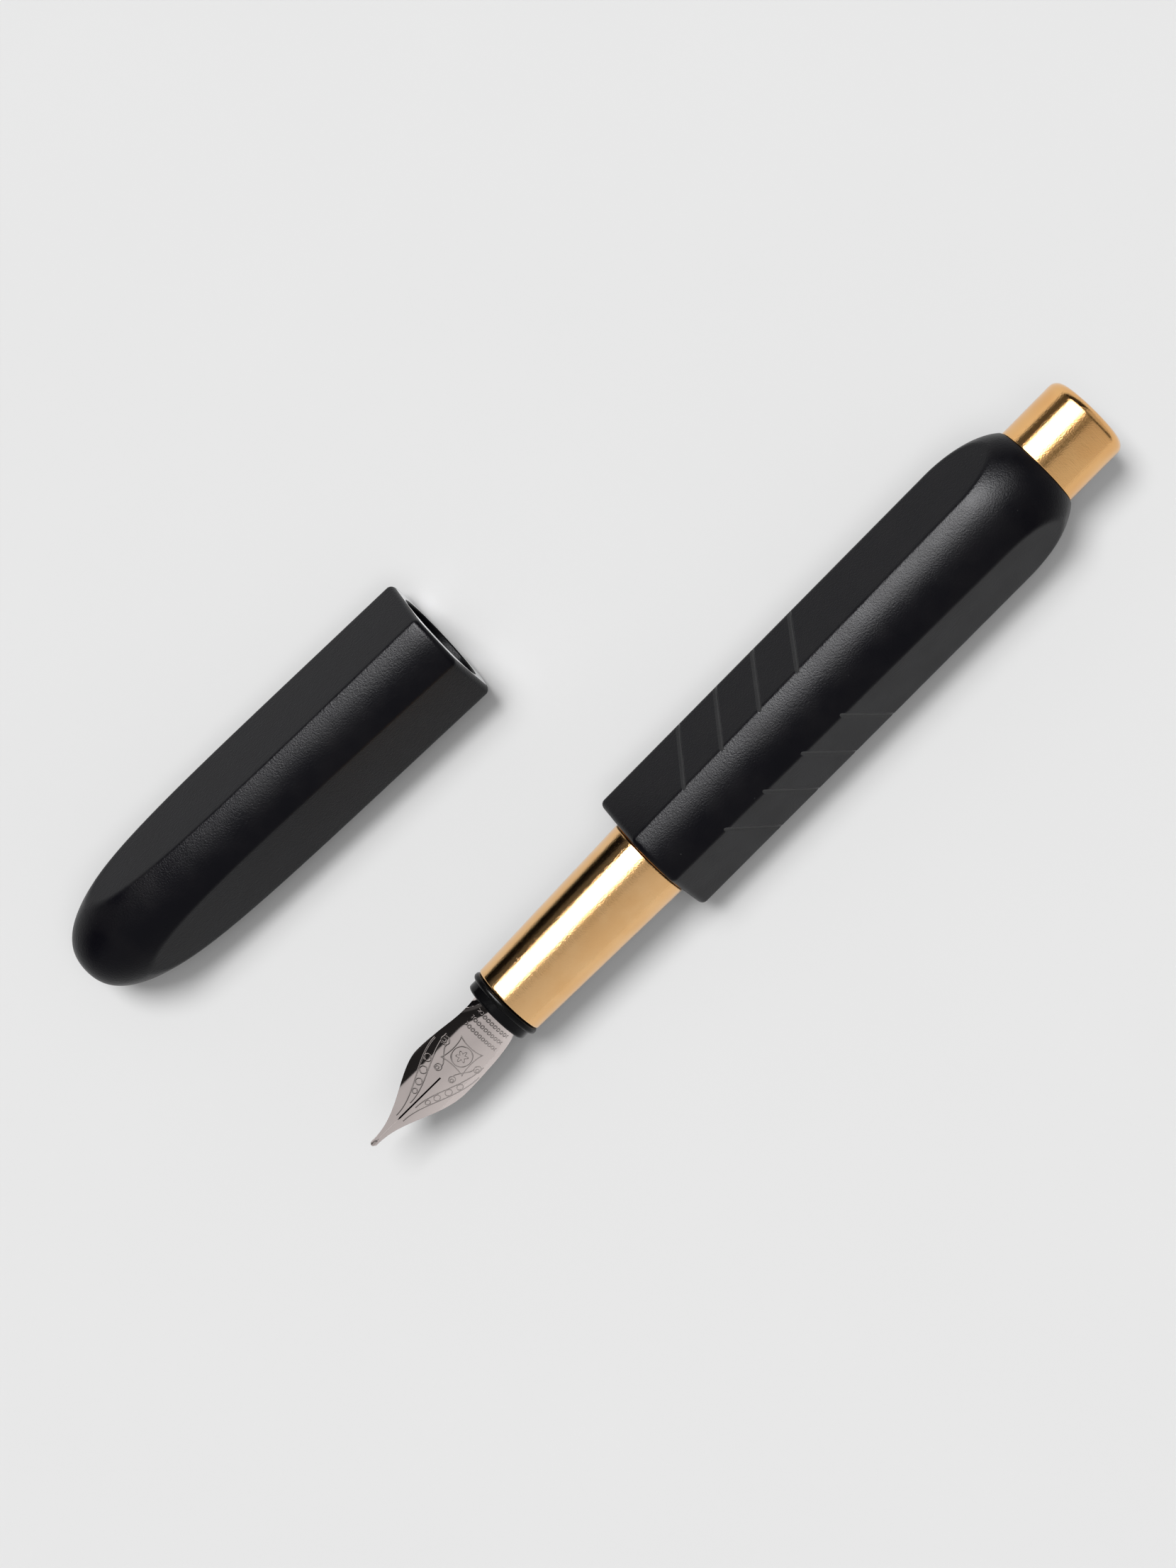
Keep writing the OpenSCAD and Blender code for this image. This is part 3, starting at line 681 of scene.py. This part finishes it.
def newFinish(name):
    return Finish(bpy.data.materials.new(name))


def rgb(r, g, b):
    return (r, g, b, 1)


softTouch = {
    "colour": rgb(0.0012, 0.0011, 0.0026),
    "worn": rgb(0.003, 0.0027, 0.004),
    # the grooves' colours are lighter than the paint around them: a painted sheen along the grooves
    "grooveSheenColour": rgb(0.009, 0.009, 0.01),
    "grooveSheenWorn": rgb(0.013, 0.013, 0.014),
    "gloss": (0.30, 0.37),
    "ior": 1.2,
    "grooveIor": 1.34,
    "patches": 260.0,      # waves in a metre
    "grain": 5200.0,
    "grainDepth": 0.00003,
    "dust": 620.0,
    "dustSize": (0.035, 0.06),
    "dustColour": rgb(0.05, 0.05, 0.05),
    "dustShare": 0.5,
}
ends = (0.3, 0.7)   # a noise goes from none to all between these


def softBlack(name, ior, darkest, lightest):
    f, s = newFinish(name), softTouch
    at = f.place()
    broad = f.noise(at, s["patches"], 3.0)
    fine = f.noise(at, s["grain"], 2.0, 0.6)
    speck = f.node("ShaderNodeTexVoronoi", {"feature": "F1"}, {"Vector": at, "Scale": s["dust"]}, "Distance")
    dust = f.spread(speck, *s["dustSize"], 1.0, 0.0) * f.spread(broad, 0.5, 0.62)
    colour = f.mix(f.spread(broad, 0.35, 0.75), darkest, lightest)
    colour = f.mix(dust * s["dustShare"], colour, s["dustColour"])
    return f.surface({"Base Color": colour, "Roughness": f.spread(broad, *ends, *s["gloss"]), "IOR": ior,
                      "Normal": f.bump(fine, s["grainDepth"])})


polished = {
    "colour": rgb(0.87, 0.54, 0.255),
    "deep": rgb(0.84, 0.50, 0.22),
    "knobColour": rgb(0.86, 0.50, 0.205),
    "knobDeep": rgb(0.83, 0.46, 0.18),
    "gloss": (0.07, 0.13),
    "patches": 320.0,      # waves in a metre
    "grain": 6500.0,
    "mark": 0.000025,      # depth of the fine marks
    "turning": (16000.0, 260.0, 260.0),  # the turning lines run round, so they are close along the pen
    "lineShare": 0.35,
}


def brass(name, lightest, darkest, low, high, mark):
    f = newFinish(name)
    at = f.place()
    broad = f.noise(at, polished["patches"], 3.0)
    fine = f.noise(at, polished["grain"], 2.0)
    along = f.node("ShaderNodeVectorMath", {"operation": "MULTIPLY"}, {0: at, 1: polished["turning"]})
    lines = f.noise(along, 1.0, 2.0)
    share = polished["lineShare"]
    return f.surface({"Base Color": f.mix(f.spread(broad, *ends), lightest, darkest), "Metallic": 1.0,
                      "Roughness": f.spread(broad * 0.6 + fine * 0.4, *ends, low, high),
                      "Normal": f.bump(lines * share + fine * (1 - share), mark)})


metalPatches, plasticPatches = 400.0, 350.0   # waves in a metre


def plain(name, patches, scale, lightest, darkest, low, high, mark, constants):
    # a mottled colour, with a gloss and marks that vary finely
    f = newFinish(name)
    at = f.place()
    broad = f.noise(at, patches, 3.0)
    fine = f.noise(at, scale, 2.0)
    return f.surface({"Base Color": f.mix(f.spread(broad, *ends), lightest, darkest),
                      "Roughness": f.spread(fine, *ends, low, high), "Normal": f.bump(fine, mark, 0.5), **constants})


def metal(name, lightest, darkest, low, high, mark, scale=5000.0):
    return plain(name, metalPatches, scale, lightest, darkest, low, high, mark, {"Metallic": 1.0})


def plastic(name, lightest, darkest, low, high, ior, mark, clear=0.0):
    return plain(name, plasticPatches, 6000.0, lightest, darkest, low, high, mark,
                 {"IOR": ior, "Transmission Weight": clear})


finishes = {
    "soft_black": softBlack("soft touch black", softTouch["ior"], softTouch["colour"], softTouch["worn"]),
    "polished_brass": brass("polished brass", polished["colour"], polished["deep"], *polished["gloss"],
                            polished["mark"]),
    "plain_brass": brass("plain brass", rgb(0.72, 0.47, 0.22), rgb(0.62, 0.40, 0.18), 0.22, 0.34, 0.000006),
    "steel": metal("screw steel", rgb(0.5, 0.5, 0.5), rgb(0.42, 0.42, 0.43), 0.25, 0.38, 0.000004),
    "nib_steel": metal("nib steel", rgb(0.55, 0.49, 0.47), rgb(0.5, 0.44, 0.42), 0.1, 0.2, 0.000001, 9000.0),
    "chrome": metal("chrome", rgb(0.78, 0.79, 0.8), rgb(0.74, 0.75, 0.77), 0.06, 0.12, 0.000001),
    "rubber": plastic("black rubber", rgb(0.003, 0.003, 0.003), rgb(0.002, 0.002, 0.0022), 0.22, 0.32, 1.2,
                      0.000004),
    "black_plastic": plastic("black plastic", rgb(0.0035, 0.0035, 0.004), rgb(0.002, 0.002, 0.0024), 0.1, 0.16, 1.2,
                             0.000002),
    "white_plastic": plastic("white plastic", rgb(0.72, 0.71, 0.67), rgb(0.66, 0.65, 0.61), 0.3, 0.42, 1.45,
                             0.000004),
    "clear_plastic": plastic("clear plastic", rgb(0.95, 0.96, 0.96), rgb(0.92, 0.94, 0.95), 0.05, 0.1, 1.45,
                             0.000001, 0.92),
}


def wear(piece, finish):
    # clearing would also forget which faces have a second finish
    if piece.data.materials:
        piece.data.materials.clear()
    piece.data.materials.append(finish)


engraving = {
    "width": 0.095,        # of a line, from its middle
    "depth": 0.00005,      # metres
    "colour": (rgb(0.69, 0.615, 0.592), rgb(0.665, 0.592, 0.57)),
    # the engraved lines are painted darker: painted shade in them
    "lineShade": rgb(0.2, 0.18, 0.17),
    "lineShadeShare": 0.55,
    "longLines": ((4.0, 13.0, 0.5, 3.35), (6.0, 14.2, 0.4, 2.8)),   # from and to along the nib, then across it
    "rings": ((10.9, 2.45, 0.36), (9.65, 1.92, 0.4), (8.4, 1.38, 0.36), (7.35, 0.98, 0.28)),
    "scrolls": ((13.6, 2.42, 0.42), (13.5, 2.5, 0.2), (11.0, 1.05, 0.38), (10.9, 1.1, 0.18)),
    "links": ((11.3, 13.45, 0.85, 2.1),),
    "rosetteAt": 13.6,
    "rosetteR": 1.16,
    "petals": 6.0,
    "petalR": (0.5, 0.17),  # the rosette's inner line: its radius, and how far it waves
    "frame": 2.25,         # reach of the four points of the frame round the rosette
    "beadRows": (16.55, 17.5, 18.45),
    "beadPitch": 0.5,
    "beadR": 0.17,
    "beadsTo": 4.5,        # pitches from the middle
    "gloss": (0.05, 0.1),
    "grain": 9000.0,
    "grainShare": 0.02,
}


def engravedSteel():
    # lines and rings of plain ornament, drawn by how far a point of the sheet lies from each
    f, e = newFinish("engraved nib steel"), engraving
    d, y, _ = f.parts(f.attribute("place"))
    aside = abs(y)

    def off(d0, y0, across):
        return ((d - d0) ** 2 + (across - y0) ** 2) ** 0.5

    near = f.node("ShaderNodeValue")
    near.socket.default_value = 1.0
    for d0, d1, y0, y1 in e["longLines"] + e["links"]:
        line = abs(aside - f.spread(d, d0, d1, y0, y1))
        near = near.least(line * 0.92 + (d < d0) + (d > d1))
    for d0, y0, r in e["rings"] + e["scrolls"]:
        near = near.least(abs(off(d0, y0, aside) - r))
    reach = off(e["rosetteAt"], 0.0, y)
    turn = y.maths("ARCTAN2", y, d - e["rosetteAt"])
    petal = turn.maths("COSINE", turn * e["petals"]) * e["petalR"][1] + e["petalR"][0]
    near = near.least(abs(reach - e["rosetteR"])).least(abs(reach - petal))
    onward = d - e["rosetteAt"]
    points = [abs(onward + y * k) * (0.5 ** 0.5 / e["frame"]) for k in (1.0, -1.0)]
    near = near.least(abs(points[0] ** 0.8 + points[1] ** 0.8 - 1.0) * 1.6)
    for row in e["beadRows"]:
        beadY = aside.maths("MODULO", aside, e["beadPitch"]) - e["beadPitch"] / 2
        apart = ((d - row) ** 2 + beadY ** 2) ** 0.5
        near = near.least(abs(apart - e["beadR"]) + (aside > e["beadsTo"] * e["beadPitch"]))
    line = f.spread(near, e["width"] * 0.2, e["width"], 1.0, 0.0)
    at = f.place()
    broad, fine = f.noise(at, metalPatches, 3.0), f.noise(at, e["grain"], 2.0)
    colour = f.mix(f.spread(broad, *ends), *e["colour"])
    # the colour darkens along the engraved lines, painted shade
    return f.surface({"Base Color": f.mix(line * e["lineShadeShare"], colour, e["lineShade"]), "Metallic": 1.0,
                      "Roughness": f.spread(fine, *ends, *e["gloss"]),
                      "Normal": f.bump(line + fine * e["grainShare"], e["depth"], 1.0, True)})


slots = {row["node"]: row["material_slot"] for row in frame["record"]["subparts"]}
nodes = frame["nodes"]
for name, node in nodes.items():
    wear(node, finishes[slots[name]])
for piece in list(bpy.context.scene.objects):
    if "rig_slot" in piece:
        wear(piece, finishes[piece["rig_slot"]])
wear(knobPiece, brass("knob brass", polished["knobColour"], polished["knobDeep"], *polished["gloss"],
                      polished["mark"]))
wear(nibPiece, engravedSteel())
# the grooves' finish is painted lighter than the paint, a painted sheen in the grooves
barrelPiece.data.materials.append(softBlack("soft touch black in the grooves", softTouch["grooveIor"],
                                            softTouch["grooveSheenColour"], softTouch["grooveSheenWorn"]))
capPiece.data.materials.append(metal("bare rim", rgb(0.8, 0.8, 0.81), rgb(0.72, 0.72, 0.74), 0.08, 0.16, 0.000001))
print("finishes given to", len(nodes), "nodes")


table = {
    "size": 3.0,
    "colour": rgb(0.70, 0.70, 0.70),
    "shade": rgb(0.685, 0.685, 0.685),
    "patches": 30.0,       # waves in a metre
}
bm = bmesh.new()
bmesh.ops.create_grid(bm, x_segments=2, y_segments=2, size=table["size"])
floor = addedMesh("table", bm)
f = newFinish("pale table")
mottle = f.noise(f.place(), table["patches"], 3.0)
wear(floor, f.surface({"Base Color": f.mix(mottle, table["colour"], table["shade"]), "Roughness": 0.9,
                       "Specular IOR Level": 0.1}))

light = {
    "boxRadiance": 42.5,   # at its bright end
    "brassRadiance": 10.0,  # of the even softbox that only the brass sees
    "boxDistance": 1.0,
    "boxFrom": (-14.5, 15.0),   # degrees from straight up: towards the tail, and towards the cap's side
    "boxTo": (30.0, 59.0),
    "brassFrom": (-24.0, 15.0),
    "boxFull": 5.0,        # degrees towards the tail where it reaches its full brightness
    "boxFade": 2.4,        # the power that it fades by before that
    "boxEdge": (14.0, 42.0, 0.35),   # degrees across where it starts and is full, and what it starts from
    "keyTilt": 26.5,
    "keyAhead": 0.0,
    "keyAngle": 23.0,
    "keyStrength": 2.52,
    "fillTilt": -4.0,
    "fillAngle": 45.0,
    "fillStrength": 0.76,
    "fillAhead": 0.0,
    "sunDistance": 1.5,
    "room": 0.195,         # what the rest of the room gives to matt surfaces
    "pale": 0.78,          # the background past the table
}
# round the sky from one side to the other over the pen: degrees from straight up, and how bright
skyStops = [(-180, 0.64), (-120, 0.66), (-92, 0.74), (-56, 0.68), (-24, 0.60), (-9, 0.60), (7, 0.60), (16, 0.60),
            (25, 0.56), (28, 0.02), (60, 0.02), (66, 0.10), (92, 0.09), (180, 0.3)]
# and how much of that is left along the pen, from the nib's side (-1) to the tail's (1)
alongStops = [(-1, 1.0), (0.04, 1.0), (0.12, 0.86), (0.26, 0.8), (0.36, 0.2), (0.56, 0.15), (0.7, 0.9), (1, 0.9)]

# a dark patch of ceiling over the pen: where along it, how far it reaches, and degrees across
overhead = {
    "ahead": 0.1,
    "side": -4.5,
    "reach": (0.02, 0.27),
    "wide": (1.0, 15.0),
    "share": 0.8,
}


def towards(tilt, ahead):
    up = math.cos(math.radians(tilt)) * math.cos(math.radians(ahead))
    return Vector((math.sin(math.radians(ahead)), math.sin(math.radians(tilt)) * math.cos(math.radians(ahead)), up))


def sun(name, direction):
    lamp = added(name, bpy.data.lights.new(name, "SUN"))
    lamp.location = direction * light["sunDistance"]
    lamp.rotation_euler = direction.to_track_quat("Z", "X").to_euler()
    return lamp


def softbox(name, corner, radiance, graded):
    # a sheet over the pen, its corners at the two angles that it spans
    (ahead0, tilt0), (ahead1, tilt1) = corner, light["boxTo"]
    away = light["boxDistance"]
    bm = bmesh.new()
    bmesh.ops.create_grid(bm, x_segments=8, y_segments=8, size=1)
    for vert in bm.verts:
        ahead = ahead0 + (ahead1 - ahead0) * (vert.co.x + 1) / 2
        tilt = tilt0 + (tilt1 - tilt0) * (vert.co.y + 1) / 2
        vert.co = Vector((math.tan(math.radians(ahead)), math.tan(math.radians(tilt)), 1)).normalized() * away
    sheet = addedMesh(name, bm)
    f = newFinish(name)
    x, y, z = f.parts(f.place())
    ahead, tilt = [part.maths("ARCTAN2", part, z) * (180 / math.pi) for part in (x, y)]
    share = f.node("ShaderNodeMapRange", {"clamp": True}, {"Value": ahead, "From Min": ahead0,
                                                           "From Max": light["boxFull"]})
    start, full, least = light["boxEdge"]
    across = f.spread(tilt, start, full, least, 1.0)
    strength = share ** light["boxFade"] * across if graded else across
    glow = f.node("ShaderNodeEmission", None, {"Strength": strength * radiance})
    # the sheets lie over each other, so each lets what is behind it through
    f.finishWith(f.node("ShaderNodeAddShader", None, {0: glow, 1: f.node("ShaderNodeBsdfTransparent")}))
    wear(sheet, f.owner)
    sheet.visible_diffuse = sheet.visible_camera = sheet.visible_shadow = False
    return sheet


def lightOnly(sheet, pieces, state):
    # the light falls on these pieces only, or on all but these
    group = bpy.data.collections.new(sheet.name + " pieces")
    for piece in pieces:
        group.objects.link(piece)
    for item in group.collection_objects:
        item.light_linking.link_state = state
    sheet.light_linking.receiver_collection = group


brassPieces, nibPieces = (gripPiece, knobPiece), (nibPiece, beadPiece)
lightOnly(softbox("softbox", light["boxFrom"], light["boxRadiance"], True), brassPieces + nibPieces, "EXCLUDE")
lightOnly(softbox("brass softbox", light["brassFrom"], light["brassRadiance"], False), brassPieces, "INCLUDE")
for name in ("key", "fill"):
    lamp = sun(name, towards(light[name + "Tilt"], light[name + "Ahead"]))
    lamp.data.angle = math.radians(light[name + "Angle"])
    lamp.data.energy = light[name + "Strength"]
    lamp.visible_glossy = False
for piece in brassPieces:
    piece.visible_diffuse = False   # no glints thrown on the table

world = bpy.data.worlds.new("studio")
bpy.context.scene.world = world
sky = Finish(world)
x, y, z = sky.parts(sky.node("ShaderNodeTexCoord", output="Generated"))
across = y.maths("ARCTAN2", y, z) / (2 * math.pi) + 0.5
ramp = sky.node("ShaderNodeValToRGB", {"stops": [((a + 180) / 360, c) for a, c in skyStops]}, {"Fac": across})
along = sky.node("ShaderNodeValToRGB", {"stops": [((a + 1) / 2, c) for a, c in alongStops]}, {"Fac": x * 0.5 + 0.5})
glossy = sky.node("ShaderNodeMix", {"data_type": "RGBA", "blend_type": "MULTIPLY"},
                  {0: 1.0, 6: ramp, 7: along}, 2)
patch = (sky.spread(abs(x - overhead["ahead"]), *overhead["reach"], 1.0, 0.0)
         * sky.spread(abs((across - 0.5) * 360 - overhead["side"]), *overhead["wide"], 1.0, 0.0))
glossy = sky.mix(patch * overhead["share"], glossy, rgb(0, 0, 0))
matt = sky.node("ShaderNodeLightPath", output="Is Diffuse Ray")
seen = sky.node("ShaderNodeLightPath", output="Is Camera Ray")
colour = sky.mix(matt, glossy, rgb(*(light["room"],) * 3))
colour = sky.mix(seen, colour, rgb(*(light["pale"],) * 3))
sky.finishWith(sky.node("ShaderNodeBackground", None, {"Color": colour, "Strength": 1.0}))

view = {
    "place": (-0.003991, 0.027567, 0.369333),
    "turn": (-0.0812381, 0.0133770, -0.7940630),
    "lens": 77.545,
}
camera = added("camera", bpy.data.cameras.new("camera"))
camera.location = view["place"]
camera.rotation_euler = view["turn"]
camera.data.lens = view["lens"]
camera.data.sensor_width = 36
camera.data.clip_start = 0.01
bpy.context.scene.camera = camera
bpy.context.scene.view_settings.view_transform = "Standard"

print("scene ready")
